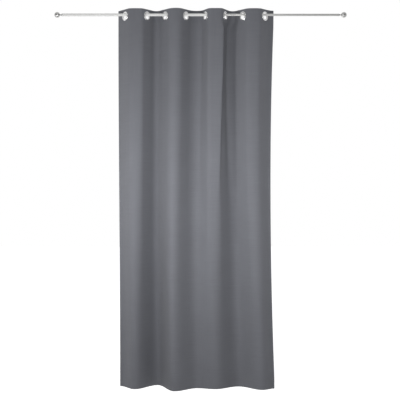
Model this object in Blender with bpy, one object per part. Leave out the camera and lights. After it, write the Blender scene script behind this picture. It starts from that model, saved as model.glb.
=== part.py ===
"""Eyelet curtain panel on a telescopic rod with ball finials.

Metres. +X runs along the rod to the right as the room sees it, +Y points to the wall and +Z up.
The origin is on the rod's axis, halfway between the outer ends of the two tubes.
"""

import math

import bmesh
import bpy
import numpy as np
from mathutils import Matrix, Vector

# ---------------------------------------------------------------- driving sizes

CLEARANCE = 0.0003  # left between pieces that touch or slide on the real object

# Cloth
CLOTH_WIDTH = 1.400  # flat, from side edge to side edge
CLOTH_HEIGHT = 2.600  # from the top edge to the hem's fold
CLOTH_THICKNESS = 0.0008
HEADER_FOLD = 0.100  # height of the cloth turned back over the stiffening tape
HEM_FOLD = 0.070  # height of the cloth turned up behind the bottom edge
TAPE_THICKNESS = 0.0008
TAPE_HEIGHT = 0.090
TAPE_INSET = 0.006  # from each side edge to the tape's end

# Eyelets
EYELET_BORE = 0.040
EYELET_FLANGE = 0.011  # radial width of the ring that shows
EYELET_DOME = 0.0035  # height of the ring over the cloth
BARREL_WALL = 0.0012
BARREL_LIP = 0.001  # the barrel's reach past the cloth, into the back ring
EYELET_EDGE = 0.080  # flat, from a side edge to the nearest eyelet's centre
EYELET_TOP = 0.047  # from an eyelet's centre to the top edge
EYELET_PLAY = 0.0006  # between the tube and the barrel that rests on it
EYELET_GRIP = 0.001  # flat cloth past the ring's outer edge

# How the panel hangs
FULLNESS = 1.297  # flat distance between the outer eyelets over their distance on the rod
LOBE_SHARES = (1.085, 0.925, 1.030, 0.985, 0.995, 0.880, 1.100)  # gap between eyelets over the mean gap
EYELET_TILTS = (50, 51, 48, 50, 60, 60, 54, 50)  # degrees between ring and rod, where the cloth allows
LOBE_SLACK = 0.94  # chord over cloth between two rings, in the tightest lobe
TURN_SLACK = 1 / 15  # chord that a lobe loses for its rings' tilt, over the tilt squared in radians
LEFT_FLAP_ANGLE = -50  # degrees, of the cloth at the left side edge
RIGHT_FLAP_ANGLE = 8  # degrees, of the cloth at the right side edge
PANEL_OFFSET = -0.038  # of the eyelets' middle from the rod's middle
HEM_SPREAD = 0.760  # width of the hanging hem over the flat width
HEM_OFFSET = 0.012  # of the hem's middle from the eyelets' middle
HEM_WAVE = (  # share of the hem's width, distance behind the rod
    (0.000, 0.070),
    (0.102, -0.030),
    (0.244, 0.100),
    (0.357, -0.095),
    (0.505, 0.000),
    (0.620, -0.030),
    (0.772, 0.054),
    (0.922, -0.055),
    (1.000, -0.010),
)
WAIST = 0.978  # width at half height over the mean of the header's and the hem's

# Rod
ROD_LENGTH = 1.899  # over both tubes, without the finials
OUTER_TUBE_D = 0.019
TUBE_WALL = 0.0005
OUTER_TUBE_LENGTH = 1.050
TUBE_OVERLAP = 0.250  # of the inner tube inside the outer one
BUSH_WALL = 0.0004
BUSH_LENGTH = 0.012
BUSH_FLANGE = 0.001

# Finials
BALL_D = 0.040
NECK_D = 0.012
NECK_LENGTH = 0.015  # from the tube's end to the ball
STUD_D = 0.005
STUD_REACH = 0.012  # into the ball, and into the plug
PLUG_HEAD = 0.0015
PLUG_SHANK = 0.020

# Mesh fineness
ROUND_SEGMENTS = 24
DOME_STEPS = 5
BALL_STEPS = 10
LOBE_STEPS = 8
FLAP_STEPS = 3
ROW_DEPTHS = (0.12, 0.22, 0.34, 0.46, 0.58, 0.70, 0.82, 0.91)  # rows of the panel, as shares of its height

# ---------------------------------------------------------------- sizes that follow

OUTER_TUBE_BORE = OUTER_TUBE_D - 2 * TUBE_WALL
INNER_TUBE_D = OUTER_TUBE_BORE - 2 * (BUSH_WALL + 2 * CLEARANCE)
INNER_TUBE_BORE = INNER_TUBE_D - 2 * TUBE_WALL
INNER_TUBE_LENGTH = ROD_LENGTH - OUTER_TUBE_LENGTH + TUBE_OVERLAP
ROD_LEFT = -ROD_LENGTH / 2
ROD_RIGHT = ROD_LENGTH / 2
TUBE_MOUTH = ROD_LEFT + OUTER_TUBE_LENGTH

RING_INNER = EYELET_BORE / 2
RING_OUTER = RING_INNER + EYELET_FLANGE
HOLE_RADIUS = RING_INNER + BARREL_WALL + CLEARANCE
PATCH = RING_OUTER + EYELET_GRIP  # half length of the flat cloth that each eyelet grips
HEADER_HALF = CLOTH_THICKNESS + CLEARANCE + TAPE_THICKNESS / 2

EYELET_COUNT = len(EYELET_TILTS)
PITCH = (CLOTH_WIDTH - 2 * EYELET_EDGE) / (EYELET_COUNT - 1)
HUNG_SPAN = PITCH * (EYELET_COUNT - 1) / FULLNESS
GAPS = [HUNG_SPAN * share / sum(LOBE_SHARES) for share in LOBE_SHARES]
EYELET_S = [EYELET_EDGE + PITCH * i for i in range(EYELET_COUNT)]
HEADER_FOLDS = [0] + [place + PITCH / 2 for place in EYELET_S[:-1]] + [CLOTH_WIDTH]
EYELET_X = [PANEL_OFFSET - HUNG_SPAN / 2 + sum(GAPS[:i]) for i in range(EYELET_COUNT)]


def steepest_tilt(gap):
    """The tilt, in radians, at which the cloth between two rings still has slack to turn across this gap."""
    between = PITCH - 2 * PATCH
    low, high = 0.0, math.pi / 2
    for _ in range(50):
        tilt = (low + high) / 2
        chord = (gap - 2 * PATCH * math.cos(tilt)) / between
        slack = min(LOBE_SLACK, 1 - TURN_SLACK * tilt**2)
        low, high = (tilt, high) if chord < slack else (low, tilt)
    return low


def ring_tilts():
    """Each ring's tilt, in radians: its own, unless the cloth beside it is too short for that."""
    tilts = []
    for i, degrees in enumerate(EYELET_TILTS):
        beside = GAPS[max(0, i - 1) : i + 1]
        tilts.append(min([math.radians(degrees)] + [steepest_tilt(gap) for gap in beside]))
    return tilts


TILTS = ring_tilts()


def drop_on_tube(tilt):
    """How far a tilted ring's centre hangs below the axis of the tube that its barrel rests on."""
    radius = OUTER_TUBE_D / 2
    around = np.linspace(0, math.pi, 181)
    aside = (HEADER_HALF + CLEARANCE + BARREL_LIP) / math.tan(tilt)  # the tube's shift at the barrel's end
    across = radius / math.sin(tilt) * np.cos(around) + aside
    room = np.maximum(0, (RING_INNER - EYELET_PLAY) ** 2 - across**2)
    return float(np.min(np.sqrt(room) - radius * np.sin(around)))


EYELET_Z = -min(drop_on_tube(tilt) for tilt in TILTS)
TOP_Z = EYELET_Z + EYELET_TOP
BOTTOM_Z = TOP_Z - CLOTH_HEIGHT

# ---------------------------------------------------------------- materials


def material(name, colour, roughness, metallic=0.0):
    made = bpy.data.materials.new(name)
    made.use_nodes = True
    shader = made.node_tree.nodes["Principled BSDF"]
    shader.inputs["Base Color"].default_value = (*colour, 1)
    shader.inputs["Roughness"].default_value = roughness
    shader.inputs["Metallic"].default_value = metallic
    made.diffuse_color = (*colour, 1)
    return made


# ---------------------------------------------------------------- building blocks


def clear_scene():
    for existing in list(bpy.data.objects):
        bpy.data.objects.remove(existing)


def add_object(name, mesh, look=None):
    made = bpy.data.objects.new(name, mesh)
    bpy.context.scene.collection.objects.link(made)
    if look:
        mesh.materials.append(look)
    return made


def turned_mesh(name, profile, closed):
    """A profile of (along X, radius) points turned about X. An open profile starts and ends on the axis."""
    bm = bmesh.new()
    points = [bm.verts.new((along, 0, radius)) for along, radius in profile]
    ends = points[1:] + points[:1] if closed else points[1:]
    edges = [bm.edges.new(pair) for pair in zip(points, ends)]
    bmesh.ops.spin(
        bm,
        geom=points + edges,
        cent=(0, 0, 0),
        axis=(1, 0, 0),
        angle=math.tau,
        steps=ROUND_SEGMENTS,
        use_merge=True,
    )
    bmesh.ops.remove_doubles(bm, verts=bm.verts, dist=1e-6)
    bmesh.ops.recalc_face_normals(bm, faces=bm.faces)
    mesh = bpy.data.meshes.new(name)
    bm.to_mesh(mesh)
    bm.free()
    mesh.shade_smooth()
    mesh.set_sharp_from_angle(angle=math.radians(40))
    return mesh


def tube_profile(start, end, inner, outer):
    return [(start, outer), (end, outer), (end, inner), (start, inner)]


# ---------------------------------------------------------------- rod


def build_outer_tube(look):
    profile = tube_profile(0, OUTER_TUBE_LENGTH, OUTER_TUBE_BORE / 2, OUTER_TUBE_D / 2)
    tube = add_object("outer_tube", turned_mesh("outer_tube", profile, True), look)
    tube.location.x = ROD_LEFT


def build_inner_tube(look):
    profile = tube_profile(-INNER_TUBE_LENGTH, 0, INNER_TUBE_BORE / 2, INNER_TUBE_D / 2)
    tube = add_object("inner_tube", turned_mesh("inner_tube", profile, True), look)
    tube.location.x = ROD_RIGHT


def build_mouth_bush(look):
    """The plastic sleeve in the outer tube's mouth, which the inner tube slides through."""
    inner = INNER_TUBE_D / 2 + CLEARANCE
    sleeve = inner + BUSH_WALL
    profile = [
        (-BUSH_LENGTH, sleeve),
        (CLEARANCE, sleeve),
        (CLEARANCE, OUTER_TUBE_D / 2),
        (CLEARANCE + BUSH_FLANGE, OUTER_TUBE_D / 2),
        (CLEARANCE + BUSH_FLANGE, inner),
        (-BUSH_LENGTH, inner),
    ]
    bush = add_object("tube_mouth_bush", turned_mesh("tube_mouth_bush", profile, True), look)
    bush.location.x = TUBE_MOUTH


# ---------------------------------------------------------------- finials


def plug_profile(tube_bore, tube_d):
    """A plug in the tube's end at 0, with a head over the tube's rim and a blind hole for the stud."""
    shank = tube_bore / 2 - CLEARANCE
    hole = STUD_D / 2 + CLEARANCE
    top = CLEARANCE + PLUG_HEAD
    return [
        (-PLUG_SHANK, 0),
        (-PLUG_SHANK, shank),
        (CLEARANCE, shank),
        (CLEARANCE, tube_d / 2),
        (top, tube_d / 2),
        (top, hole),
        (-STUD_REACH - CLEARANCE, hole),
        (-STUD_REACH - CLEARANCE, 0),
    ]


def ball_profile():
    """A ball with a flat on the neck's end and a blind hole for the stud."""
    radius = BALL_D / 2
    hole = STUD_D / 2 + CLEARANCE
    flat = math.asin(NECK_D / BALL_D)
    centre = NECK_LENGTH + radius * math.cos(flat)
    profile = [
        (NECK_LENGTH + STUD_REACH + CLEARANCE, 0),
        (NECK_LENGTH + STUD_REACH + CLEARANCE, hole),
        (NECK_LENGTH, hole),
    ]
    for step in range(BALL_STEPS + 1):
        angle = flat + (math.pi - flat) * step / BALL_STEPS
        profile.append((centre - radius * math.cos(angle), radius * math.sin(angle)))
    profile[-1] = (centre + radius, 0)
    return profile


def build_finial(side, end_x, outward, tube_bore, tube_d, looks):
    """Plug, stud, neck and ball at one end of the rod, which come off together."""
    neck_start = 2 * CLEARANCE + PLUG_HEAD
    neck = tube_profile(neck_start, NECK_LENGTH - CLEARANCE, STUD_D / 2 + CLEARANCE, NECK_D / 2)
    stud_end = NECK_LENGTH + STUD_REACH
    stud = [(-STUD_REACH, 0), (-STUD_REACH, STUD_D / 2), (stud_end, STUD_D / 2), (stud_end, 0)]
    pieces = {
        "plug": (plug_profile(tube_bore, tube_d), False),
        "stud": (stud, False),
        "neck": (neck, True),
        "ball": (ball_profile(), False),
    }
    for piece, (profile, closed) in pieces.items():
        name = f"finial_{side}_{piece}"
        made = add_object(name, turned_mesh(name, profile, closed), looks[piece])
        made.location.x = end_x
        made.rotation_euler.z = 0 if outward > 0 else math.pi


# ---------------------------------------------------------------- eyelets


def dome(base, peak, inner, outer):
    """Half an ellipse over the cloth, from the ring's outer edge to its inner edge."""
    middle = (outer + inner) / 2
    points = []
    for step in range(DOME_STEPS + 1):
        angle = math.pi * step / DOME_STEPS
        points.append((base + peak * math.sin(angle), middle + (outer - middle) * math.cos(angle)))
    return points


def front_ring_profile():
    """The ring in front of the cloth, and its barrel through the cloth."""
    seat = HEADER_HALF + CLEARANCE
    barrel = RING_INNER + BARREL_WALL
    profile = dome(-seat, -EYELET_DOME, RING_INNER, RING_OUTER)
    return profile + [(seat + BARREL_LIP, RING_INNER), (seat + BARREL_LIP, barrel), (-seat, barrel)]


def back_ring_profile():
    return dome(HEADER_HALF + CLEARANCE, EYELET_DOME, HOLE_RADIUS, RING_OUTER)


def place_on_patch(piece, i):
    """Sets a piece on eyelet i, with its own +X along the cloth's normal, to the back."""
    piece.location = (EYELET_X[i], 0, EYELET_Z)
    piece.rotation_euler.z = patch_angle(i) + math.pi / 2


def patch_angle(i):
    """The plan angle of the cloth at eyelet i: into the room at the first, back at the second, and so on."""
    return TILTS[i] * (-1 if i % 2 == 0 else 1)


def build_eyelets(look):
    front = turned_mesh("eyelet_front", front_ring_profile(), True)
    back = turned_mesh("eyelet_back", back_ring_profile(), True)
    front.materials.append(look)
    back.materials.append(look)
    for i in range(EYELET_COUNT):
        place_on_patch(add_object(f"eyelet_{i + 1}_front", front), i)
        place_on_patch(add_object(f"eyelet_{i + 1}_back", back), i)


def build_hole_cutter():
    """One cylinder through the header at each eyelet."""
    bm = bmesh.new()
    for i in range(EYELET_COUNT):
        turn = Matrix.Rotation(patch_angle(i) + math.pi / 2, 4, "Z")
        place = Matrix.Translation((EYELET_X[i], 0, EYELET_Z)) @ turn @ Matrix.Rotation(math.pi / 2, 4, "Y")
        bmesh.ops.create_cone(
            bm,
            cap_ends=True,
            segments=ROUND_SEGMENTS,
            radius1=HOLE_RADIUS,
            radius2=HOLE_RADIUS,
            depth=6 * HEADER_HALF,
            matrix=place,
        )
    mesh = bpy.data.meshes.new("hole_cutter")
    bm.to_mesh(mesh)
    bm.free()
    cutter = add_object("hole_cutter", mesh)
    cutter.hide_render = True
    cutter.display_type = "WIRE"
    return cutter


# ---------------------------------------------------------------- plan curves of the cloth

FLAT = np.linspace(0, CLOTH_WIDTH, 2801)  # places across the flat cloth, from its left side edge


def run_along(angles, places):
    """The plan points reached by following these angles across the flat cloth, from (0, 0)."""
    steps = np.diff(places)
    middles = (angles[1:] + angles[:-1]) / 2
    x = np.concatenate([[0], np.cumsum(np.cos(middles) * steps)])
    y = np.concatenate([[0], np.cumsum(np.sin(middles) * steps)])
    return x, y


def lobe_angles(i):
    """Plan angles between the flat patches of eyelets i and i + 1, which span the gap and end on the rod."""
    share = np.linspace(0, 1, 401)
    length = PITCH - 2 * PATCH
    start, end = patch_angle(i), patch_angle(i + 1)
    patches_x = PATCH * (math.cos(start) + math.cos(end))
    patches_y = PATCH * (math.sin(start) + math.sin(end))
    target = np.array([GAPS[i] - patches_x, -patches_y])

    def angles(bends):
        bulge = bends[0] * np.sin(math.tau * share) + bends[1] * np.sin(math.pi * share)
        return start + (end - start) * share + bulge

    def miss(bends):
        x, y = run_along(angles(bends), share * length)
        return np.array([x[-1], y[-1]]) - target

    bends = np.zeros(2)
    for _ in range(30):
        slope = np.column_stack([(miss(bends + nudge) - miss(bends)) / 1e-6 for nudge in np.eye(2) * 1e-6])
        step = np.linalg.solve(slope, miss(bends))
        bends -= step * min(1, 0.2 / np.abs(step).max())
    return share, angles(bends)


def header_angles():
    """Plan angle at each place across the header."""
    first, last = EYELET_S[0] - PATCH, EYELET_S[-1] + PATCH
    places = [0, first]
    angles = [math.radians(LEFT_FLAP_ANGLE), patch_angle(0)]
    for i in range(EYELET_COUNT - 1):
        share, between = lobe_angles(i)
        start = EYELET_S[i] + PATCH
        places.extend(start + share * (PITCH - 2 * PATCH))
        angles.extend(between)
    places += [last, CLOTH_WIDTH]
    angles += [patch_angle(EYELET_COUNT - 1), math.radians(RIGHT_FLAP_ANGLE)]
    return np.interp(FLAT, places, angles)


def hem_angles():
    """Plan angle at each place across the hem, and the place of each of its folds.

    The wave is made just deep enough for the flat width.
    """
    shares, depths = np.array(HEM_WAVE).T
    across = np.linspace(0, 1, 1201)
    leg = np.clip(np.searchsorted(shares, across, side="right") - 1, 0, len(shares) - 2)
    part = (across - shares[leg]) / (shares[leg + 1] - shares[leg])
    wave = depths[leg] + (depths[leg + 1] - depths[leg]) * (1 - np.cos(math.pi * part)) / 2
    dx = np.diff(across) * HEM_SPREAD * CLOTH_WIDTH
    low, high = 0.0, 10.0
    for _ in range(50):
        depth = (low + high) / 2
        lengths = np.hypot(dx, depth * np.diff(wave))
        low, high = (depth, high) if lengths.sum() < CLOTH_WIDTH else (low, depth)
    reached = np.concatenate([[0], np.cumsum(lengths)])
    angles = np.interp(FLAT, reached[1:] - lengths / 2, np.arctan2(depth * np.diff(wave), dx))
    return angles, np.interp(shares, across, reached)


def row_curve(depth, header, hem, hem_folds):
    """Plan points and angles of the cloth at this depth below the top edge, at each place in FLAT.

    Each fold runs down from its place at the header to its place at the hem.
    """
    share = min(1, max(0, (depth - HEADER_FOLD) / (CLOTH_HEIGHT - HEM_FOLD - HEADER_FOLD)))
    blend = share * share * (3 - 2 * share)
    header_x, header_y = run_along(header, FLAT)
    hem_x, _ = run_along(hem, FLAT)
    folds = np.array(HEADER_FOLDS) * (1 - blend) + hem_folds * blend
    upper = np.interp(np.interp(FLAT, folds, HEADER_FOLDS), FLAT, header)
    lower = np.interp(np.interp(FLAT, folds, hem_folds), FLAT, hem)
    mixed = upper * (1 - blend) + lower * blend
    if 0 < share < 1:
        waist = 1 - (1 - WAIST) * 4 * share * (1 - share)
        width = (header_x[-1] * (1 - blend) + hem_x[-1] * blend) * waist
        low, high = 0.5, 2.0
        for _ in range(40):
            gain = (low + high) / 2
            x, _ = run_along(mixed * gain, FLAT)
            low, high = (gain, high) if x[-1] > width else (low, gain)
        mixed = mixed * gain
    x, y = run_along(mixed, FLAT)
    first_x, first_y = (np.interp(EYELET_S[0], FLAT, values) for values in (header_x, header_y))
    header_left = np.array([EYELET_X[0] - first_x, -first_y])
    hem_left = np.array([PANEL_OFFSET + HEM_OFFSET - hem_x[-1] / 2, HEM_WAVE[0][1]])
    left = header_left + (hem_left - header_left) * blend
    right_y = (header_left[1] + header_y[-1]) * (1 - blend) + HEM_WAVE[-1][1] * blend
    drift = left[1] + y[-1] - right_y
    return left[0] + x, left[1] + y - drift * FLAT / CLOTH_WIDTH, mixed


# ---------------------------------------------------------------- cloth solids


def tape_columns():
    """Places across the flat cloth where the mesh has a column, from one end of the tape to the other."""
    places = list(np.linspace(TAPE_INSET, EYELET_S[0] - PATCH, FLAP_STEPS + 1))
    for i in range(EYELET_COUNT - 1):
        start = EYELET_S[i] + PATCH
        places.extend(np.linspace(start, start + PITCH - 2 * PATCH, LOBE_STEPS + 1))
    places.extend(np.linspace(EYELET_S[-1] + PATCH, CLOTH_WIDTH - TAPE_INSET, FLAP_STEPS + 1))
    return places


def strip_sides(path, thickness):
    """The two sides of a strip along a path of (behind, z) points, mitred at its corners."""
    points = [Vector(point) for point in path]
    sides = ([], [])
    for i, point in enumerate(points):
        before = (point - points[i - 1]).normalized() if i else None
        after = (points[i + 1] - point).normalized() if i + 1 < len(points) else None
        before, after = before or after, after or before
        normals = [Vector((-way.y, way.x)) for way in (before, after)]
        mitre = (normals[0] + normals[1]).normalized()
        reach = thickness / 2 / mitre.dot(normals[0])
        sides[0].append(point + mitre * reach)
        sides[1].append(point - mitre * reach)
    return sides


def strip_rows(bm, side, columns, plan):
    """One row of mesh points across the cloth for each (behind, z) point on a side of the strip."""
    rows = []
    for behind, z in side:
        x, y, angle = (np.interp(columns, FLAT, values) for values in row_curve(TOP_Z - z, *plan))
        points = zip(x - np.sin(angle) * behind, y + np.cos(angle) * behind)
        rows.append([bm.verts.new((px, py, z)) for px, py in points])
    return rows


def swept_strip(name, path, thickness, columns, look):
    """A strip of cloth with this path in section, swept along the plan curves over these columns.

    Both sides are cut into triangles the same way, so that they stay apart where the cloth twists.
    """
    plan = (header_angles(), *hem_angles())
    bm = bmesh.new()
    outer, inner = (strip_rows(bm, side, columns, plan) for side in strip_sides(path, thickness))
    for side in (outer, inner):
        for row, below in zip(side, side[1:]):
            for c in range(len(columns) - 1):
                bm.faces.new((row[c], row[c + 1], below[c + 1]))
                bm.faces.new((row[c], below[c + 1], below[c]))
    for end in (0, -1):
        for c in range(len(columns) - 1):
            bm.faces.new((outer[end][c], outer[end][c + 1], inner[end][c + 1], inner[end][c]))
        for i in range(len(path) - 1):
            bm.faces.new((outer[i][end], outer[i + 1][end], inner[i + 1][end], inner[i][end]))
    bmesh.ops.recalc_face_normals(bm, faces=bm.faces)
    mesh = bpy.data.meshes.new(name)
    bm.to_mesh(mesh)
    bm.free()
    mesh.shade_smooth()
    mesh.set_sharp_from_angle(angle=math.radians(40))
    return add_object(name, mesh, look)


def cut_holes(piece, cutter):
    holes = piece.modifiers.new("eyelet_holes", "BOOLEAN")
    holes.operation = "DIFFERENCE"
    holes.object = cutter


def build_cloth(look, cutter):
    """The panel: its header turned back over the tape, and its hem turned up behind."""
    half = CLOTH_THICKNESS / 2
    front = -HEADER_HALF + half
    back = HEADER_HALF - half
    hem_layer = front + CLOTH_THICKNESS + CLEARANCE
    rows = [TOP_Z - HEADER_FOLD] + [TOP_Z - CLOTH_HEIGHT * share for share in ROW_DEPTHS]
    path = [(back, TOP_Z - HEADER_FOLD), (back, TOP_Z - half), (front, TOP_Z - half)]
    path += [(front, z) for z in rows + [BOTTOM_Z + HEM_FOLD]]
    path += [(front, BOTTOM_Z + half), (hem_layer, BOTTOM_Z + half), (hem_layer, BOTTOM_Z + HEM_FOLD)]
    columns = [0] + tape_columns() + [CLOTH_WIDTH]
    cut_holes(swept_strip("cloth_panel", path, CLOTH_THICKNESS, columns, look), cutter)


def build_header_tape(look, cutter):
    """The stiffening tape inside the header fold."""
    top = TOP_Z - CLOTH_THICKNESS - CLEARANCE
    path = [(0, top), (0, top - TAPE_HEIGHT)]
    cut_holes(swept_strip("header_tape", path, TAPE_THICKNESS, tape_columns(), look), cutter)


# ---------------------------------------------------------------- the part


def main():
    clear_scene()
    cloth = material("grey_cloth", (0.17, 0.175, 0.19), 0.9)
    tape = material("white_tape", (0.75, 0.75, 0.72), 0.85)
    nickel = material("bright_nickel", (0.80, 0.80, 0.81), 0.15, 1.0)
    satin = material("satin_steel", (0.68, 0.68, 0.69), 0.30, 1.0)
    dark = material("dark_chrome", (0.45, 0.45, 0.46), 0.22, 1.0)
    plastic = material("grey_plastic", (0.25, 0.25, 0.26), 0.5)
    steel = material("zinc_steel", (0.55, 0.55, 0.56), 0.4, 1.0)

    build_outer_tube(satin)
    build_inner_tube(dark)
    build_mouth_bush(plastic)
    finial_looks = {"plug": plastic, "stud": steel, "neck": dark, "ball": nickel}
    build_finial("left", ROD_LEFT, -1, OUTER_TUBE_BORE, OUTER_TUBE_D, finial_looks)
    build_finial("right", ROD_RIGHT, 1, INNER_TUBE_BORE, INNER_TUBE_D, finial_looks)

    cutter = build_hole_cutter()
    build_cloth(cloth, cutter)
    build_header_tape(tape, cutter)
    build_eyelets(nickel)


main()
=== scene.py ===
"""The eyelet curtain panel on its telescopic rod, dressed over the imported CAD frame.

Metres, in the part's frame: +X right along the rod, +Y to the wall, +Z up, origin on the rod's axis.
"""

import math

import bmesh
import bpy
import numpy as np
from mathutils import Matrix, Vector


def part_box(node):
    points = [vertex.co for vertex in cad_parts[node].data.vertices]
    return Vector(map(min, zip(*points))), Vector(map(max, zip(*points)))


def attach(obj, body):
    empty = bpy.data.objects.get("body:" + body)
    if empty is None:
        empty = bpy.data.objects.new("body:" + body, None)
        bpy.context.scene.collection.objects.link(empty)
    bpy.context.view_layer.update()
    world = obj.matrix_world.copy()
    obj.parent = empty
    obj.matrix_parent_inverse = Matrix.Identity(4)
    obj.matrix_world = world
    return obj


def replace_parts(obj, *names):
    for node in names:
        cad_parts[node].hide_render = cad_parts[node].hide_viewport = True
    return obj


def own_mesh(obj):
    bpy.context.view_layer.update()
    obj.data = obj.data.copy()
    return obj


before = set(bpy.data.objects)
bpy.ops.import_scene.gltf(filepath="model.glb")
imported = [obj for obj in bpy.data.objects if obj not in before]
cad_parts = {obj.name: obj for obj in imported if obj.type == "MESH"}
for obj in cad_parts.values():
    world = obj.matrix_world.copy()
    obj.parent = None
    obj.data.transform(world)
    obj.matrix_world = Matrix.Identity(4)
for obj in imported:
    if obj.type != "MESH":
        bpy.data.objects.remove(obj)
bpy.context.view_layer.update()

# ---------------------------------------------------------------- sizes of the cloth

CLOTH_WIDTH = 1.400
CLOTH_HEIGHT = 2.600
LAYER = 0.0008  # thickness of one layer of cloth
HEADER_FOLD = 0.100
HEM_FOLD = 0.070
SIDE_HEM = 0.022  # from a side edge to its seam
HEADER_HALF = 0.0015  # half the thickness of the header's stack
LAYER_STEP = 0.0011  # from the middle of one layer to the middle of the next, at the hem
TAPE_INSET = 0.006  # from each side edge to the tape's end
TAPE_DROP = 0.0011  # from the cloth's top edge to the tape's
TAPE_HEIGHT = 0.090
EYELET_EDGE = 0.080  # from a side edge to the nearest eyelet's centre
PATCH = 0.032  # half length of the flat cloth in each eyelet
HOLE_CUT = 0.0245  # radius in which the cloth is left out; the ring covers its edge
LEFT_FLAP_ANGLE = math.radians(-50)
RIGHT_FLAP_ANGLE = math.radians(8)
HEM_SPREAD = 0.760  # width of the hanging hem over the flat width
HEM_MIDDLE = -0.026  # from the rod's middle, along X
WAIST = 0.978  # width at half height over the mean of the header's and the hem's
HEM_WAVE = (  # share of the hem's width, distance behind the rod before the wave is scaled
    (0.000, 0.070),
    (0.102, -0.030),
    (0.244, 0.100),
    (0.357, -0.095),
    (0.505, 0.000),
    (0.620, -0.030),
    (0.772, 0.054),
    (0.922, -0.055),
    (1.000, -0.010),
)

CREASE_EYELET = 6  # the cloth is pinched into a sharp fold on its right
CREASE_SHIFT = -0.016  # of the crease's middle from that eyelet's centre
CREASE_HALF = 0.013  # half width of the pinch, and VALLEY_HALF of the lean
CREASE_PINCH = 2.1  # over 1, so that the cloth doubles back on itself
VALLEY_SHIFT = 0.069  # of the valley's middle from the crease's
VALLEY_HALF = 0.028
VALLEY_LEAN = 0.031
CREASE_DEPTHS = (0.082, 0.125, 0.45, 1.35)  # below the top edge: it starts, is full, fades and is gone

FLAT_STEP = 0.0005  # between the places across the cloth at which its curves are worked out
CURVE_STEP = 0.040  # between the depths at which they are
LOBE_SAMPLES = 401
HEM_SAMPLES = 1201
COLUMN_STEP = 0.005
ROW_STEP = 0.016
HEADER_ROWS = 24  # of each of the header's layers, close enough to cut the eyelets' holes
HEM_ROWS = 5
TOP_TURN_STEPS = 8
HEM_TURN_STEPS = 4
TAPE_COLUMNS = 280
TAPE_ROWS = 16
SEAM_INSET = 0.004  # of a seam from the edge that it holds down
HEM_SEAM_INSET = 0.003
STITCH_PITCH = 0.0042
STITCH_LENGTH = 0.0032
YARN_PITCH = 0.0011
THREAD_RADIUS = 0.00035
THREAD_SIDES = 6
THREAD_DIP = 0.9  # of a thread's centre where it thins away, over its radius
THREAD_SHAPE = ((0.0, 0.35), (0.2, 1.0), (0.8, 1.0), (1.0, 0.35))  # shares of the length and the radius
RING_SEGMENTS = 96
TUBE_SEGMENTS = 72

EYELETS = range(1, 9)

SOLVER_STEPS = 30
SOLVER_NUDGE = 1e-6
MOST_TURN = 0.2  # radians, in one step of the solver
HALVINGS = 50
WAVE_SCALES = (0.0, 10.0)  # the range in which the hem wave's scale is searched
BEND_SCALES = (0.5, 2.0)  # the same for the bends between the header and the hem

# ---------------------------------------------------------------- sizes of the metal

RING_BORE_R = 0.020
RING_OUTER_R = 0.031
RING_SEAT = HEADER_HALF + 0.0003  # from the cloth's middle to a ring's flat side
RING_DOME = 0.0035
RING_LIP = 0.0006  # height of a ring's straight outer edge
BARREL_WALL = 0.0012
BARREL_REACH = 0.001  # past the back ring's seat
BACK_RING_BORE_R = 0.0215
TUBE_BORE_R = {"outer_tube": 0.009, "inner_tube": 0.0075}
TUBE_RIM = 0.00024  # rounding of the tubes' ends
BALL_R = 0.020
BALL_FLAT_SHARE = 0.3  # radius of the flat that meets the neck, over the ball's
STUD_HOLE_R = 0.0028
STUD_HOLE_DEPTH = 0.0123
NECK_COLLAR = 0.0018
NECK_COLLAR_ROUND = 0.0005
NECK_WAIST_DEPTH = 0.0016
NECK_WAIST_GAP = 0.001  # from a collar to the waist's start
DOME_STEPS = 18
BALL_STEPS = 48
WAIST_STEPS = 12
ROUND_STEPS = 3  # of a rim's or a collar's rounding

# ---------------------------------------------------------------- frame readings


def node_points(node):
    mesh = bpy.data.objects[node].data
    points = np.empty(len(mesh.vertices) * 3)
    mesh.vertices.foreach_get("co", points)
    return points.reshape(-1, 3)


def eyelet_pose(i):
    """Centre and plan angle of the cloth at eyelet i, read from its two CAD rings."""
    low_front, high_front = (Vector(corner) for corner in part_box(f"eyelet_{i}_front"))
    low_back, high_back = (Vector(corner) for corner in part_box(f"eyelet_{i}_back"))
    low = Vector(map(min, low_front, low_back))
    high = Vector(map(max, high_front, high_back))
    points = node_points(f"eyelet_{i}_back")
    spread = np.linalg.svd(points - points.mean(0), full_matrices=False)[2]
    across, behind = spread[2][0], spread[2][1]
    if behind < 0:
        across, behind = -across, -behind
    return (low + high) / 2, math.atan2(-across, behind)


POSES = {i: eyelet_pose(i) for i in EYELETS}
TOP_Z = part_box("cloth_panel")[1][2]
BOTTOM_Z = TOP_Z - CLOTH_HEIGHT
PITCH = (CLOTH_WIDTH - 2 * EYELET_EDGE) / (len(EYELETS) - 1)
FLAT = np.linspace(0, CLOTH_WIDTH, round(CLOTH_WIDTH / FLAT_STEP) + 1)  # from the left side edge

# ---------------------------------------------------------------- plan curves


def run_along(angles, places):
    """The plan points reached by following these angles, from (0, 0)."""
    steps = np.diff(places)
    middles = (angles[1:] + angles[:-1]) / 2
    x = np.concatenate([[0], np.cumsum(np.cos(middles) * steps)])
    y = np.concatenate([[0], np.cumsum(np.sin(middles) * steps)])
    return x, y


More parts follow.
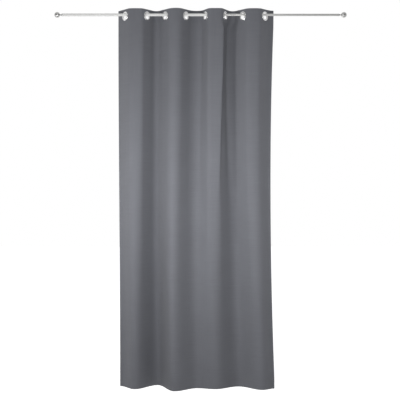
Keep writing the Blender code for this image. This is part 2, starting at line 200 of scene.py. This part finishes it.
def lobe_angles(i):
    """Plan angles of the cloth between the flat patches of eyelets i and i + 1."""
    share = np.linspace(0, 1, LOBE_SAMPLES)
    length = PITCH - 2 * PATCH
    (left, start), (right, end) = POSES[i], POSES[i + 1]
    target_x = right.x - left.x - PATCH * (math.cos(start) + math.cos(end))
    target_y = -PATCH * (math.sin(start) + math.sin(end))
    target = np.array([target_x, target_y])

    def angles(bends):
        bulge = bends[0] * np.sin(math.tau * share) + bends[1] * np.sin(math.pi * share)
        return start + (end - start) * share + bulge

    def miss(bends):
        x, y = run_along(angles(bends), share * length)
        return np.array([x[-1], y[-1]]) - target

    bends = np.zeros(2)
    for _ in range(SOLVER_STEPS):
        gained = [miss(bends + nudge) - miss(bends) for nudge in np.eye(2) * SOLVER_NUDGE]
        step = np.linalg.solve(np.column_stack(gained) / SOLVER_NUDGE, miss(bends))
        bends -= step * min(1, MOST_TURN / np.abs(step).max())
    return share, angles(bends)


def header_angles():
    first, last = POSES[EYELETS[0]][1], POSES[EYELETS[-1]][1]
    places = [0, EYELET_EDGE - PATCH]
    angles = [LEFT_FLAP_ANGLE, first]
    for i in EYELETS[:-1]:
        share, between = lobe_angles(i)
        start = EYELET_EDGE + PITCH * (i - 1) + PATCH
        places.extend(start + share * (PITCH - 2 * PATCH))
        angles.extend(between)
    places += [CLOTH_WIDTH - EYELET_EDGE + PATCH, CLOTH_WIDTH]
    angles += [last, RIGHT_FLAP_ANGLE]
    return np.interp(FLAT, places, angles)


def hem_angles():
    """Plan angles along the hem, its wave scaled to use the flat width, and its folds' places."""
    shares, depths = np.array(HEM_WAVE).T
    across = np.linspace(0, 1, HEM_SAMPLES)
    leg = np.clip(np.searchsorted(shares, across, side="right") - 1, 0, len(shares) - 2)
    part = (across - shares[leg]) / (shares[leg + 1] - shares[leg])
    wave = depths[leg] + (depths[leg + 1] - depths[leg]) * (1 - np.cos(math.pi * part)) / 2
    dx = np.diff(across) * HEM_SPREAD * CLOTH_WIDTH
    low, high = WAVE_SCALES
    for _ in range(HALVINGS):
        scale = (low + high) / 2
        lengths = np.hypot(dx, scale * np.diff(wave))
        low, high = (scale, high) if lengths.sum() < CLOTH_WIDTH else (low, scale)
    reached = np.concatenate([[0], np.cumsum(lengths)])
    angles = np.interp(FLAT, reached[1:] - lengths / 2, np.arctan2(scale * np.diff(wave), dx))
    return angles, np.interp(shares, across, reached)


HEADER_ANGLES = header_angles()
HEADER_FOLDS = np.array([0] + [EYELET_EDGE + PITCH * (i - 1.5) for i in EYELETS[1:]] + [CLOTH_WIDTH])
HEM_ANGLES, HEM_FOLDS = hem_angles()


def row_curve(depth):
    """Plan points and angles of the cloth at this depth below the top edge, at each place in FLAT."""
    share = min(1, max(0, (depth - HEADER_FOLD) / (CLOTH_HEIGHT - HEM_FOLD - HEADER_FOLD)))
    blend = share * share * (3 - 2 * share)
    header_x, header_y = run_along(HEADER_ANGLES, FLAT)
    hem_x, _ = run_along(HEM_ANGLES, FLAT)
    folds = HEADER_FOLDS + (HEM_FOLDS - HEADER_FOLDS) * blend
    header = np.interp(np.interp(FLAT, folds, HEADER_FOLDS), FLAT, HEADER_ANGLES)
    hem = np.interp(np.interp(FLAT, folds, HEM_FOLDS), FLAT, HEM_ANGLES)
    mixed = header + (hem - header) * blend
    if 0 < share < 1:
        waist = 1 - (1 - WAIST) * 4 * share * (1 - share)
        width = (header_x[-1] * (1 - blend) + hem_x[-1] * blend) * waist
        low, high = BEND_SCALES
        for _ in range(HALVINGS):
            scale = (low + high) / 2
            x, _ = run_along(mixed * scale, FLAT)
            low, high = (scale, high) if x[-1] > width else (low, scale)
        mixed = mixed * scale
    x, y = run_along(mixed, FLAT)
    first_x, first_y = (np.interp(EYELET_EDGE, FLAT, values) for values in (header_x, header_y))
    header_left = np.array([POSES[1][0].x - first_x, -first_y])
    hem_left = np.array([HEM_MIDDLE - hem_x[-1] / 2, HEM_WAVE[0][1]])
    left = header_left + (hem_left - header_left) * blend
    right_y = (header_left[1] + header_y[-1]) * (1 - blend) + HEM_WAVE[-1][1] * blend
    drift = left[1] + y[-1] - right_y
    return left[0] + x, left[1] + y - drift * FLAT / CLOTH_WIDTH, mixed


CURVE_DEPTHS = np.linspace(0, CLOTH_HEIGHT, round(CLOTH_HEIGHT / CURVE_STEP) + 1)
CURVES = np.array([row_curve(depth) for depth in CURVE_DEPTHS])  # rows, then x, y, angle, then places


def creased(x, middle, depth):
    """These x, pinched about the crease's middle, with the valley beside it leaning towards it."""
    strength = float(np.interp(depth, CREASE_DEPTHS, (0, 1, 1, 0)))
    aside = (x - middle) / CREASE_HALF
    pinch = CREASE_PINCH * CREASE_HALF * aside * np.exp(-(aside**2) / 2)
    aside = (x - middle - VALLEY_SHIFT) / VALLEY_HALF
    return x - strength * (pinch + VALLEY_LEAN * np.exp(-(aside**2) / 2))


def cloth_points(places, z, behind):
    """The hanging cloth's points at these places across it, at a height and behind its middle."""
    depth = min(max(TOP_Z - z, 0), CLOTH_HEIGHT)
    row = depth / CLOTH_HEIGHT * (len(CURVE_DEPTHS) - 1)
    low = min(int(row), len(CURVE_DEPTHS) - 2)
    x, y, angle = CURVES[low] + (CURVES[low + 1] - CURVES[low]) * (row - low)
    middle = np.interp(EYELET_EDGE + PITCH * (CREASE_EYELET - 1), FLAT, x) + CREASE_SHIFT
    pinched, rise = creased(x, middle, depth), np.gradient(y)
    # The crease turns the cloth, so its layers lie square to the pinched curve.
    angle = angle + np.arctan2(rise, np.gradient(pinched)) - np.arctan2(rise, np.gradient(x))
    x, y, angle = (np.interp(places, FLAT, values) for values in (pinched, y, angle))
    return np.column_stack([x - np.sin(angle) * behind, y + np.cos(angle) * behind, np.full(len(x), z)])


# ---------------------------------------------------------------- mesh helpers

MERGE_GAP = 1e-6
METAL_SHARP = math.radians(35)  # an edge that turns more than this stays sharp
CLOTH_SHARP = math.radians(50)


def add_piece(name, mesh, look, body):
    made = bpy.data.objects.new(name, mesh)
    bpy.context.scene.collection.objects.link(made)
    mesh.materials.append(look)
    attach(made, body)
    return made


def mesh_from(name, vertices, faces):
    mesh = bpy.data.meshes.new(name)
    mesh.from_pydata([tuple(map(float, v)) for v in vertices], [], faces)
    mesh.update()
    return mesh


def turned_mesh(name, profile, closed, segments, place):
    """A profile of (along X, radius) points turned about X and then placed by a matrix."""
    bm = bmesh.new()
    points = [bm.verts.new((along, 0, radius)) for along, radius in profile]
    ends = points[1:] + points[:1] if closed else points[1:]
    edges = [bm.edges.new(pair) for pair in zip(points, ends)]
    bmesh.ops.spin(
        bm,
        geom=points + edges,
        cent=(0, 0, 0),
        axis=(1, 0, 0),
        angle=math.tau,
        steps=segments,
        use_merge=True,
    )
    bmesh.ops.remove_doubles(bm, verts=bm.verts, dist=MERGE_GAP)
    bmesh.ops.recalc_face_normals(bm, faces=bm.faces)
    bmesh.ops.transform(bm, matrix=place, verts=bm.verts)
    mesh = bpy.data.meshes.new(name)
    bm.to_mesh(mesh)
    bm.free()
    mesh.shade_smooth()
    mesh.set_sharp_from_angle(angle=METAL_SHARP)
    return mesh


def arc(centre, radius, start, end, steps):
    """Points on an arc or ellipse, whose radius has a value for each axis, with angles in degrees."""
    points = []
    for step in range(steps + 1):
        angle = math.radians(start + (end - start) * step / steps)
        points.append((centre[0] + radius[0] * math.cos(angle), centre[1] + radius[1] * math.sin(angle)))
    return points


# ---------------------------------------------------------------- materials

CLOTH_DARK = (0.124, 0.1275, 0.142)
CLOTH_LIGHT = (0.163, 0.168, 0.187)
WEFT_SLUBS = (6, 900, 1)  # scale of the noise on the flat cloth, long across it
WARP_SLUBS = (900, 5, 1)  # and long down it
YARN_SHARES = (0.5, 0.35, 0.15)  # of weft, warp and cloudiness in the cloth's shade
DULL_SHARE = 0.94  # of a plating's colour where it is darkest

# name, scale and detail of the noise, low and high colour, roughness, bump
THREAD = ("grey_thread", 900.0, 2.0, (0.10, 0.105, 0.12), (0.15, 0.155, 0.17), 0.7, 0)
TAPE = ("non_woven_tape", 1200.0, 3.0, (0.62, 0.62, 0.60), (0.80, 0.80, 0.78), 0.85, 0)
PLASTIC = ("moulded_grey_plastic", 700.0, 3.0, (0.05, 0.05, 0.055), (0.07, 0.07, 0.075), 0.5, 0.15)

# name, colour, roughness, grain along each axis, spread of the roughness, metallic
NICKEL = ("bright_nickel_plate", (0.95, 0.95, 0.95), 0.22, (60, 60, 60), 0.02, 1)
BRUSHED = ("brushed_nickel_plate", (0.60, 0.60, 0.59), 0.27, (60, 60, 60), 0.04, 1)
SATIN = ("satin_steel_plate", (0.78, 0.78, 0.77), 0.55, (8, 60, 60), 0.02, 0.10)
DARK = ("dark_chrome_plate", (0.60, 0.60, 0.59), 0.40, (8, 60, 60), 0.02, 0.50)
ZINC = ("zinc_plate", (0.55, 0.55, 0.56), 0.4, (200, 200, 200), 0.05, 1)


def new_material(name):
    made = bpy.data.materials.new(name)
    made.use_nodes = True
    return made, made.node_tree, made.node_tree.nodes["Principled BSDF"]


def node(tree, kind, **values):
    made = tree.nodes.new(kind)
    for key, value in values.items():
        if key in made.inputs:
            made.inputs[key].default_value = value
        else:
            setattr(made, key, value)
    return made


def math_node(tree, operation, first, second=None):
    made = tree.nodes.new("ShaderNodeMath")
    made.operation = operation
    for socket, value in zip(made.inputs, (first, second)):
        if value is None:
            continue
        if isinstance(value, (int, float)):
            socket.default_value = value
        else:
            tree.links.new(value, socket)
    return made.outputs[0]


def cloth_material():
    """Matt plain weave in mid grey, with slightly uneven yarns. UV holds metres on the flat cloth."""
    made, tree, shader = new_material("woven_grey_cloth")
    link = tree.links.new
    uv = node(tree, "ShaderNodeUVMap", uv_map="flat")
    split = node(tree, "ShaderNodeSeparateXYZ")
    link(uv.outputs["UV"], split.inputs[0])

    yarn = math.tau / YARN_PITCH  # radians per metre
    weft = math_node(tree, "SINE", math_node(tree, "MULTIPLY", split.outputs["Y"], yarn))
    warp = math_node(tree, "SINE", math_node(tree, "MULTIPLY", split.outputs["X"], yarn))
    weave = math_node(tree, "MULTIPLY", weft, warp)

    noises = []
    for scale in (WEFT_SLUBS, WARP_SLUBS):
        stretch = node(tree, "ShaderNodeMapping")
        stretch.inputs["Scale"].default_value = scale
        link(uv.outputs["UV"], stretch.inputs["Vector"])
        slubs = node(tree, "ShaderNodeTexNoise", Scale=1.0, Detail=3.0, Roughness=0.6)
        link(stretch.outputs[0], slubs.inputs["Vector"])
        noises.append(slubs.outputs["Fac"])
    cloudy = node(tree, "ShaderNodeTexNoise", Scale=5.0, Detail=4.0)
    link(uv.outputs["UV"], cloudy.inputs["Vector"])
    noises.append(cloudy.outputs["Fac"])

    across, down, clouds = (
        math_node(tree, "MULTIPLY", noise, share) for noise, share in zip(noises, YARN_SHARES)
    )
    yarns = math_node(tree, "ADD", math_node(tree, "ADD", across, down), clouds)
    shade = node(tree, "ShaderNodeValToRGB")
    shade.color_ramp.elements[0].position = 0.35
    shade.color_ramp.elements[0].color = (*CLOTH_DARK, 1)
    shade.color_ramp.elements[1].position = 0.65
    shade.color_ramp.elements[1].color = (*CLOTH_LIGHT, 1)
    link(yarns, shade.inputs["Fac"])
    link(shade.outputs["Color"], shader.inputs["Base Color"])

    height = math_node(tree, "ADD", math_node(tree, "MULTIPLY", weave, 0.5), noises[0])
    bump = node(tree, "ShaderNodeBump", Strength=0.35, Distance=0.0004)
    link(height, bump.inputs["Height"])
    link(bump.outputs["Normal"], shader.inputs["Normal"])
    shader.inputs["Roughness"].default_value = 0.88
    shader.inputs["Specular IOR Level"].default_value = 0.25
    shader.inputs["Sheen Weight"].default_value = 0.12
    shader.inputs["Sheen Roughness"].default_value = 0.5
    return made


def speckled_material(name, scale, detail, low, high, roughness, bumpiness):
    """A plain surface whose colour varies finely from low to high."""
    made, tree, shader = new_material(name)
    link = tree.links.new
    place = node(tree, "ShaderNodeTexCoord")
    noise = node(tree, "ShaderNodeTexNoise", Scale=scale, Detail=detail)
    link(place.outputs["Object"], noise.inputs["Vector"])
    shade = node(tree, "ShaderNodeValToRGB")
    shade.color_ramp.elements[0].color = (*low, 1)
    shade.color_ramp.elements[1].color = (*high, 1)
    link(noise.outputs["Fac"], shade.inputs["Fac"])
    link(shade.outputs["Color"], shader.inputs["Base Color"])
    if bumpiness:
        bump = node(tree, "ShaderNodeBump", Strength=bumpiness, Distance=0.0002)
        link(noise.outputs["Fac"], bump.inputs["Height"])
        link(bump.outputs["Normal"], shader.inputs["Normal"])
    shader.inputs["Roughness"].default_value = roughness
    return made


def metal_material(name, colour, roughness, grain, spread, metallic):
    """Plated metal whose roughness and colour vary slightly. grain is the noise's scale along each axis."""
    made, tree, shader = new_material(name)
    link = tree.links.new
    place = node(tree, "ShaderNodeTexCoord")
    scale = node(tree, "ShaderNodeMapping")
    scale.inputs["Scale"].default_value = grain
    link(place.outputs["Object"], scale.inputs["Vector"])
    noise = node(tree, "ShaderNodeTexNoise", Scale=1.0, Detail=4.0)
    link(scale.outputs[0], noise.inputs["Vector"])
    rough = node(tree, "ShaderNodeMapRange")
    rough.inputs["To Min"].default_value = roughness - spread
    rough.inputs["To Max"].default_value = roughness + spread
    link(noise.outputs["Fac"], rough.inputs["Value"])
    link(rough.outputs["Result"], shader.inputs["Roughness"])
    tone = node(tree, "ShaderNodeValToRGB")
    tone.color_ramp.elements[0].color = (*(c * DULL_SHARE for c in colour), 1)
    tone.color_ramp.elements[1].color = (*colour, 1)
    link(noise.outputs["Fac"], tone.inputs["Fac"])
    link(tone.outputs["Color"], shader.inputs["Base Color"])
    bump = node(tree, "ShaderNodeBump", Strength=0.06, Distance=0.0002)
    link(noise.outputs["Fac"], bump.inputs["Height"])
    link(bump.outputs["Normal"], shader.inputs["Normal"])
    shader.inputs["Metallic"].default_value = metallic
    return made


# ---------------------------------------------------------------- cloth


def fold_path():
    """The cloth's section from the header's turned edge, over the top, down, and up behind the hem.

    Returns points (distance behind the middle, z), and the length of cloth used up to each.
    """
    front = -HEADER_HALF + LAYER / 2
    back = HEADER_HALF - LAYER / 2
    hem_layer = front + LAYER_STEP
    header = np.linspace(TOP_Z - HEADER_FOLD, TOP_Z - back - LAYER / 2, HEADER_ROWS)
    points = [(back, z) for z in header]
    points += arc((0, header[-1]), (back, back), 0, 180, TOP_TURN_STEPS)[1:-1]
    bottom = BOTTOM_Z + LAYER / 2 + LAYER_STEP / 2
    rows = round((TOP_Z - HEADER_FOLD - bottom) / ROW_STEP)
    points += [(front, z) for z in header[::-1]]
    points += [(front, z) for z in np.linspace(TOP_Z - HEADER_FOLD, bottom, rows)[1:]]
    middle = (front + hem_layer) / 2
    points += arc((middle, bottom), (LAYER_STEP / 2, LAYER_STEP / 2), 180, 360, HEM_TURN_STEPS)[1:-1]
    points += [(hem_layer, z) for z in np.linspace(bottom, BOTTOM_Z + HEM_FOLD, HEM_ROWS)]
    points = np.array(points)
    used = np.concatenate([[0], np.cumsum(np.hypot(*np.diff(points, axis=0).T))])
    return points, used


def strip_normals(points):
    """Unit normals of the path, to its outer side."""
    ways = np.gradient(points, axis=0)
    ways /= np.linalg.norm(ways, axis=1)[:, None]
    return np.column_stack([ways[:, 1], -ways[:, 0]])


def shell_faces(rows, columns, left_out):
    """Faces of a closed shell over two grids of points, without the cells that are left out."""

    def corner(side, row, column):
        return (side * rows + row) * columns + column

    faces = []
    for r in range(rows - 1):
        for c in range(columns - 1):
            if left_out[r, c]:
                continue
            quad = [(r, c), (r, c + 1), (r + 1, c + 1), (r + 1, c)]
            faces.append([corner(0, *at) for at in quad])
            faces.append([corner(1, *at) for at in reversed(quad)])
            for (r1, c1), (r2, c2), next_r, next_c in (
                (quad[0], quad[1], r - 1, c),
                (quad[1], quad[2], r, c + 1),
                (quad[2], quad[3], r + 1, c),
                (quad[3], quad[0], r, c - 1),
            ):
                inside = 0 <= next_r < rows - 1 and 0 <= next_c < columns - 1
                if not inside or left_out[next_r, next_c]:
                    a, b = corner(0, r1, c1), corner(0, r2, c2)
                    faces.append([b, a, corner(1, r1, c1), corner(1, r2, c2)])
    return faces


def tidy_mesh(mesh):
    """Drops points that no face uses, turns all faces outward and shades the mesh smooth."""
    bm = bmesh.new()
    bm.from_mesh(mesh)
    bmesh.ops.delete(bm, geom=[v for v in bm.verts if not v.link_faces], context="VERTS")
    bmesh.ops.recalc_face_normals(bm, faces=bm.faces)
    bm.to_mesh(mesh)
    bm.free()
    mesh.shade_smooth()
    mesh.set_sharp_from_angle(angle=CLOTH_SHARP)


def hole_mask(heights, places):
    """Which cells between these heights and these places across the cloth lie inside an eyelet's hole."""
    z = (heights[1:] + heights[:-1])[:, None] / 2
    s = (places[1:] + places[:-1])[None, :] / 2
    mask = np.zeros((len(heights) - 1, len(places) - 1), dtype=bool)
    for i in EYELETS:
        centre = EYELET_EDGE + PITCH * (i - 1)
        mask |= np.hypot(s - centre, z - POSES[i][0].z) < HOLE_CUT
    return mask


def build_cloth(look):
    points, used = fold_path()
    normals = strip_normals(points)
    places = np.linspace(0, CLOTH_WIDTH, round(CLOTH_WIDTH / COLUMN_STEP) + 1)
    columns, rows = len(places), len(points)
    vertices = []
    for side in (1, -1):
        shifted = points + normals * side * LAYER / 2
        vertices.extend(cloth_points(places, z, behind) for behind, z in shifted)
    vertices = np.concatenate(vertices)
    mesh = mesh_from("cloth_sheet", vertices, shell_faces(rows, columns, hole_mask(points[:, 1], places)))
    layer = mesh.uv_layers.new(name="flat")
    indices = np.empty(len(mesh.loops), dtype=np.int64)
    mesh.loops.foreach_get("vertex_index", indices)
    row_of, column_of = (indices % (rows * columns)) // columns, indices % columns
    layer.data.foreach_set("uv", np.column_stack([places[column_of], used[row_of]]).ravel())
    tidy_mesh(mesh)
    return add_piece("cloth_sheet", mesh, look, "panel")


def build_tape(look):
    """The stiffening tape between the header's two layers."""
    top = TOP_Z - TAPE_DROP
    places = np.linspace(TAPE_INSET, CLOTH_WIDTH - TAPE_INSET, TAPE_COLUMNS)
    heights = np.linspace(top, top - TAPE_HEIGHT, TAPE_ROWS)
    vertices = [cloth_points(places, z, side * LAYER / 2) for side in (1, -1) for z in heights]
    vertices = np.concatenate(vertices)
    faces = shell_faces(TAPE_ROWS, TAPE_COLUMNS, hole_mask(heights, places))
    mesh = mesh_from("tape_strip", vertices, faces)
    tidy_mesh(mesh)
    tape = add_piece("tape_strip", mesh, look, "panel")
    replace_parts(tape, "header_tape")
    return tape


def stitch_row(name, route, look):
    """A row of short threads, each lying on the cloth from one point of the route towards the next.

    route holds (point on the cloth, unit normal) pairs a stitch pitch apart.
    """
    vertices, faces = [], []
    sides = THREAD_SIDES
    last = len(THREAD_SHAPE) - 1
    for (start, normal), (end, _) in zip(route[:-1], route[1:]):
        way = end - start
        length = np.linalg.norm(way)
        way = way / length
        side = np.cross(normal, way)
        base = len(vertices)
        reach = length * STITCH_LENGTH / STITCH_PITCH
        for share, swell in THREAD_SHAPE:
            centre = start + way * reach * share - normal * THREAD_RADIUS * THREAD_DIP * (1 - swell)
            for k in range(sides):
                angle = math.tau * k / sides
                ring = side * math.cos(angle) + normal * math.sin(angle)
                vertices.append(centre + ring * THREAD_RADIUS * swell)
        for ring in range(last):
            for k in range(sides):
                a, b = base + ring * sides + k, base + ring * sides + (k + 1) % sides
                faces.append([a, b, b + sides, a + sides])
        faces.append([base + k for k in reversed(range(sides))])
        faces.append([base + last * sides + k for k in range(sides)])
    mesh = mesh_from(name, vertices, faces)
    mesh.shade_smooth()
    return add_piece(name, mesh, look, "panel")


def cross_route(z, behind, facing):
    """Route of a seam across the cloth. facing is -1 to the room and 1 to the wall."""
    places = np.arange(SEAM_INSET, CLOTH_WIDTH - SEAM_INSET, STITCH_PITCH)
    points = cloth_points(places, z, behind)
    normals = cloth_points(places, z, behind + facing) - points
    return list(zip(points, normals))


def side_route(place, facing, behind):
    """Route of a seam down the cloth, at this place across it, from below the header to above the hem."""
    top, bottom = TOP_Z - HEADER_FOLD - SEAM_INSET, BOTTOM_Z + HEM_FOLD + SEAM_INSET
    heights = np.arange(top, bottom, -STITCH_PITCH)
    route = []
    for z in heights:
        point = cloth_points([place], z, behind)[0]
        route.append((point, cloth_points([place], z, behind + facing)[0] - point))
    return route


def build_stitches(look):
    front = -HEADER_HALF
    header_z = TOP_Z - HEADER_FOLD + SEAM_INSET
    hem_z = BOTTOM_Z + HEM_FOLD - HEM_SEAM_INSET
    rows = [
        stitch_row("header_stitches", cross_route(header_z, front, -1), look),
        stitch_row("header_stitches_back", cross_route(header_z, HEADER_HALF, 1), look),
        stitch_row("hem_stitches", cross_route(hem_z, front, -1), look),
        stitch_row("hem_stitches_back", cross_route(hem_z, front + LAYER + LAYER_STEP, 1), look),
    ]
    for side, place in (("left", SIDE_HEM), ("right", CLOTH_WIDTH - SIDE_HEM)):
        rows.append(stitch_row(f"side_stitches_{side}", side_route(place, -1, front), look))
    return rows


# ---------------------------------------------------------------- eyelets


def ring_place(i):
    """Matrix that puts a ring turned about X on eyelet i, with +X to the back of the cloth."""
    centre, angle = POSES[i]
    return Matrix.Translation(centre) @ Matrix.Rotation(angle + math.pi / 2, 4, "Z")


def ring_profile(inner, facing):
    """A ring's domed profile from its outer edge. facing is -1 to the room and 1 to the wall."""
    base = facing * (RING_SEAT + RING_LIP)
    size = (facing * (RING_DOME - RING_LIP), (RING_OUTER_R - inner) / 2)
    profile = [(facing * RING_SEAT, RING_OUTER_R), (base, RING_OUTER_R)]
    profile += arc((base, (inner + RING_OUTER_R) / 2), size, 90, -90, DOME_STEPS)[1:]
    return profile + [(facing * RING_SEAT, inner)]


def build_eyelets(look):
    barrel_end = RING_SEAT + BARREL_REACH
    barrel_outer = RING_BORE_R + BARREL_WALL
    front = ring_profile(RING_BORE_R, -1)
    front += [(barrel_end, RING_BORE_R), (barrel_end, barrel_outer), (-RING_SEAT, barrel_outer)]
    back = ring_profile(BACK_RING_BORE_R, 1)
    for i in EYELETS:
        body = "panel" if i == 1 else f"eyelet_{i}"
        for side, profile in (("front", front), ("back", back)):
            mesh = turned_mesh(f"ring_{i}_{side}", profile, True, RING_SEGMENTS, ring_place(i))
            ring = add_piece(f"ring_{i}_{side}", mesh, look, body)
            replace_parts(ring, f"eyelet_{i}_{side}")
            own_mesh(ring)


# ---------------------------------------------------------------- rod and finials


def round_tube(start, end, inner, outer, lip):
    """A tube's profile, with its two rims rounded by lip."""
    profile = arc((start + lip, outer - lip), (lip, lip), 180, 90, ROUND_STEPS)
    profile += arc((end - lip, outer - lip), (lip, lip), 90, 0, ROUND_STEPS)
    profile += [(end, inner), (start, inner)]
    return profile


def build_tubes(satin, dark, plastic):
    for name, look, body, slot in (
        ("outer_tube", satin, "rod_outer", "satin_steel"),
        ("inner_tube", dark, "rod_inner", "dark_chrome"),
    ):
        low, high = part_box(name)
        profile = round_tube(low[0], high[0], TUBE_BORE_R[name], high[2], TUBE_RIM)
        mesh = turned_mesh(f"{name}_skin", profile, True, TUBE_SEGMENTS, Matrix.Identity(4))
        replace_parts(add_piece(f"{name}_skin", mesh, look, body), name)
    bpy.data.objects["tube_mouth_bush"].material_slots[0].material = plastic


def ball_profile():
    """Half of a ball's section about X: a blind hole for the stud, the flat round it, and the ball."""
    flat = math.degrees(math.asin(BALL_FLAT_SHARE))
    profile = arc((0, 0), (BALL_R, BALL_R), 180 - flat, 0, BALL_STEPS)
    profile[-1] = (BALL_R, 0)  # exactly on the axis
    face = -BALL_R * math.cos(math.radians(flat))
    bottom = face + STUD_HOLE_DEPTH
    return [(bottom, 0), (bottom, STUD_HOLE_R), (face, STUD_HOLE_R)] + profile


def neck_profile(length, radius):
    """A neck's section: a rounded collar at each end and a hollow waist between them."""
    rounding = (NECK_COLLAR_ROUND, NECK_COLLAR_ROUND)
    collar_z = radius - NECK_COLLAR_ROUND
    waist = (length / 2 - NECK_COLLAR - NECK_WAIST_GAP, NECK_WAIST_DEPTH)
    profile = [(0, radius)] + arc((NECK_COLLAR, collar_z), rounding, 90, 0, ROUND_STEPS)
    profile += arc((length / 2, radius), waist, 180, 360, WAIST_STEPS)
    profile += arc((length - NECK_COLLAR, collar_z), rounding, 180, 90, ROUND_STEPS)
    return profile + [(length, radius), (length, STUD_HOLE_R), (0, STUD_HOLE_R)]


def build_finials(brushed, dark, plastic, steel):
    for side, outward in (("left", -1), ("right", 1)):
        body = f"finial_{side}"
        low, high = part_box(f"{body}_ball")
        tip = high[0] if outward > 0 else low[0]
        turn = Matrix.Identity(4) if outward > 0 else Matrix.Rotation(math.pi, 4, "Z")
        place = Matrix.Translation((tip - outward * BALL_R, 0, 0)) @ turn
        mesh = turned_mesh(f"ball_{side}", ball_profile(), False, TUBE_SEGMENTS, place)
        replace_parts(add_piece(f"ball_{side}", mesh, brushed, body), f"{body}_ball")

        low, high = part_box(f"{body}_neck")
        start = low[0] if outward > 0 else high[0]
        place = Matrix.Translation((start, 0, 0)) @ turn
        profile = neck_profile(high[0] - low[0], high[2])
        mesh = turned_mesh(f"neck_{side}", profile, True, TUBE_SEGMENTS, place)
        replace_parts(add_piece(f"neck_{side}", mesh, dark, body), f"{body}_neck")
        bpy.data.objects[f"{body}_plug"].material_slots[0].material = plastic
        bpy.data.objects[f"{body}_stud"].material_slots[0].material = steel


# ---------------------------------------------------------------- studio

CAMERA_PLACE = (-0.004, -6.0, -1.27)
CAMERA_LENS = 78.7
CAMERA_SENSOR = 36
FLOOR_Z = -3.2
FLOOR_HALF = 30
FLOOR_GLOW = 0.6  # of the floor behind the curtain
ROOM_SIDE = 0.28  # brightness of the room in front of the curtain, where the backdrop is 1
ZENITH = 0.55
LIGHTS = (  # name, place, target, width and height, power, spread in degrees
    ("side_key", (-1.7, -1.4, -1.2), (0, 0, -1.2), (0.5, 0.5), 8.2, 115),
    ("front_key", (0, -1.7, -1.2), (0, 0, -1.2), (1.0, 0.4), 12.5, 140),
    ("top_fill", (-0.4, -2.0, 1.2), (0, 0, -0.6), (1.4, 0.5), 3.5, 150),
)


def build_camera():
    data = bpy.data.cameras.new("camera")
    data.lens = CAMERA_LENS
    data.sensor_width = CAMERA_SENSOR
    camera = bpy.data.objects.new("camera", data)
    camera.location = CAMERA_PLACE
    camera.rotation_euler = (math.pi / 2, 0, 0)
    bpy.context.scene.collection.objects.link(camera)
    bpy.context.scene.camera = camera


def smooth_ramp(tree, value, start, end, low, high):
    """low where the value is at most start, high from end on, and a smooth step between them."""
    ramp = tree.nodes.new("ShaderNodeMapRange")
    ramp.interpolation_type = "SMOOTHSTEP"
    for name, number in (("From Min", start), ("From Max", end), ("To Min", low), ("To Max", high)):
        ramp.inputs[name].default_value = number
    tree.links.new(value, ramp.inputs["Value"])
    return ramp.outputs["Result"]


def build_floor():
    made, tree, shader = new_material("studio_floor")
    shader.inputs["Base Color"].default_value = (0.8, 0.8, 0.8, 1)
    shader.inputs["Roughness"].default_value = 0.9
    shader.inputs["Specular IOR Level"].default_value = 0.0
    shader.inputs["Emission Color"].default_value = (1, 1, 1, 1)
    place = tree.nodes.new("ShaderNodeTexCoord")
    split = tree.nodes.new("ShaderNodeSeparateXYZ")
    tree.links.new(place.outputs["Object"], split.inputs[0])
    glow = smooth_ramp(tree, split.outputs["Y"], start=0.5, end=2.5, low=0, high=FLOOR_GLOW)
    tree.links.new(glow, shader.inputs["Emission Strength"])
    mesh = bpy.data.meshes.new("studio_floor")
    signs = ((-1, -1), (1, -1), (1, 1), (-1, 1))
    corners = [(x * FLOOR_HALF, y * FLOOR_HALF, FLOOR_Z) for x, y in signs]
    mesh.from_pydata(corners, [], [(0, 1, 2, 3)])
    mesh.materials.append(made)
    floor = bpy.data.objects.new("studio_floor", mesh)
    bpy.context.scene.collection.objects.link(floor)


def add_area_light(name, place, target, size, power, spread):
    data = bpy.data.lights.new(name, "AREA")
    data.shape = "RECTANGLE"
    data.size, data.size_y = size
    data.energy = power
    data.spread = math.radians(spread)
    light = bpy.data.objects.new(name, data)
    light.location = place
    light.visible_camera = False
    light.rotation_euler = (Vector(target) - Vector(place)).to_track_quat("-Z", "Y").to_euler()
    bpy.context.scene.collection.objects.link(light)


def build_lights():
    world = bpy.data.worlds.new("white_room")
    bpy.context.scene.world = world
    world.use_nodes = True
    tree = world.node_tree
    background = tree.nodes["Background"]
    place = tree.nodes.new("ShaderNodeTexCoord")
    split = tree.nodes.new("ShaderNodeSeparateXYZ")
    tree.links.new(place.outputs["Generated"], split.inputs[0])
    wall = smooth_ramp(tree, split.outputs["Y"], start=-0.5, end=0.5, low=ROOM_SIDE, high=1)
    sky = smooth_ramp(tree, split.outputs["Z"], start=0.2, end=0.8, low=0, high=ZENITH)
    total = math_node(tree, "MAXIMUM", wall, sky)
    tree.links.new(total, background.inputs["Color"])
    for light in LIGHTS:
        add_area_light(*light)
    bpy.context.scene.view_settings.view_transform = "Standard"


# ---------------------------------------------------------------- the scene


def main():
    platings = (NICKEL, BRUSHED, SATIN, DARK, ZINC)
    nickel, brushed, satin, dark, steel = (metal_material(*plating) for plating in platings)
    plastic = speckled_material(*PLASTIC)

    build_camera()
    build_floor()
    build_lights()

    sheet = build_cloth(cloth_material())
    stitches = build_stitches(speckled_material(*THREAD))
    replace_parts(sheet, "cloth_panel")
    tape = build_tape(speckled_material(*TAPE))
    for piece in [sheet, tape] + stitches:
        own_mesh(piece)
    build_eyelets(nickel)
    build_tubes(satin, dark, plastic)
    build_finials(brushed, dark, plastic, steel)


main()
